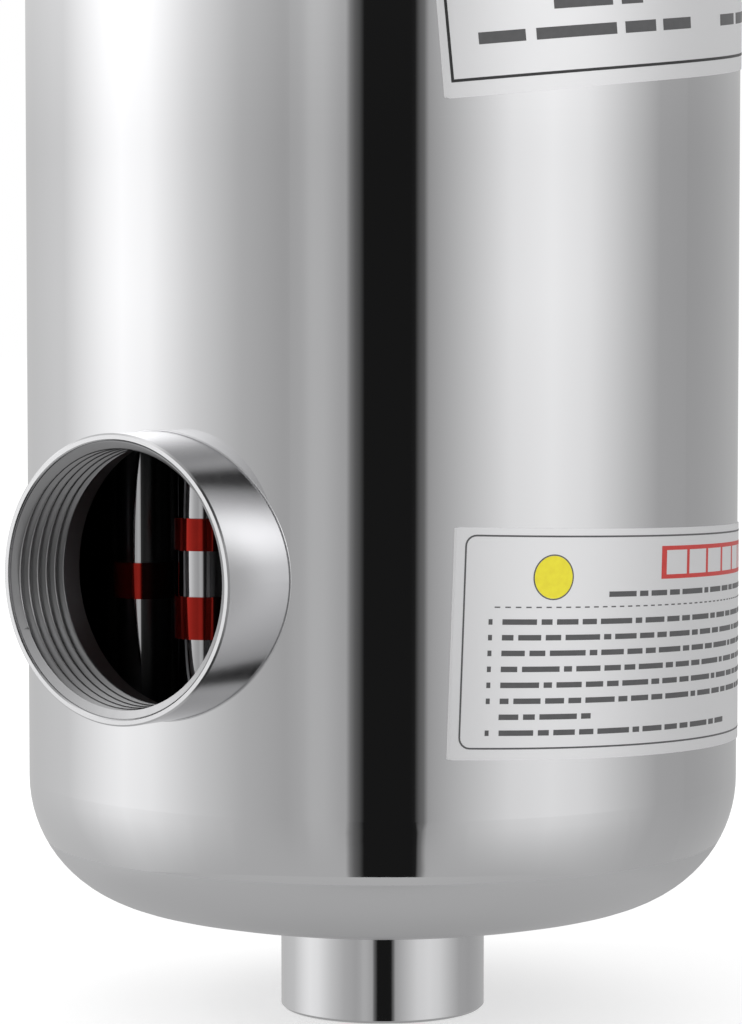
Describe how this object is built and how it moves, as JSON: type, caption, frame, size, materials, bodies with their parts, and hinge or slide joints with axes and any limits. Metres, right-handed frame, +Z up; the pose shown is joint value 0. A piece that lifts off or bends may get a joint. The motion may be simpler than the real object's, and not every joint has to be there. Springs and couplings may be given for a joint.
{
  "type": "pool heat exchanger",
  "caption": "Upright stainless shell-and-tube pool heat exchanger: dished heads, small threaded end ports, large threaded side ports, tube bundle and blank labels.",
  "frame": {"origin": "centre of the lower end port's face, on the shell's axis", "axes": "+Z up the shell's axis; -Y out of the side ports; +X to the right seen from the side ports"},
  "size_m": [0.1332, 0.1448, 0.4256],
  "materials": {
    "polished_shell": "polished",
    "polished_port": "polished",
    "plate_steel": "satin",
    "tube_steel": "satin",
    "red_band": "matte",
    "label_film": "satin"
  },
  "bodies": {
    "root": {"shell_wall": "polished_shell", "lower_head": "polished_shell", "upper_head": "polished_shell", "lower_side_port": "polished_port", "upper_side_port": "polished_port", "lower_end_port": "polished_port", "upper_end_port": "polished_port", "lower_tube_sheet": "plate_steel", "upper_tube_sheet": "plate_steel", "baffle_1": "plate_steel", "baffle_2": "plate_steel", "baffle_3": "plate_steel", "tube_01": "tube_steel", "tube_02": "tube_steel", "tube_03": "tube_steel", "tube_04": "tube_steel", "tube_05": "tube_steel", "tube_06": "tube_steel", "tube_07": "tube_steel", "tube_08": "tube_steel", "tube_09": "tube_steel", "tube_10": "tube_steel", "tube_11": "tube_steel", "tube_12": "tube_steel", "tube_13": "tube_steel", "tube_14": "tube_steel", "tube_15": "tube_steel", "tube_16": "tube_steel", "tube_17": "tube_steel", "tube_18": "tube_steel", "tube_19": "tube_steel", "tube_20": "tube_steel", "tube_21": "tube_steel", "tube_22": "tube_steel", "tube_23": "tube_steel", "tube_24": "tube_steel", "tube_25": "tube_steel", "lower_red_band_1": "red_band", "lower_red_band_2": "red_band", "lower_red_band_3": "red_band", "upper_red_band_1": "red_band", "upper_red_band_2": "red_band", "upper_red_band_3": "red_band", "upper_label": "label_film", "lower_label": "label_film"}
  },
  "joints": []
}
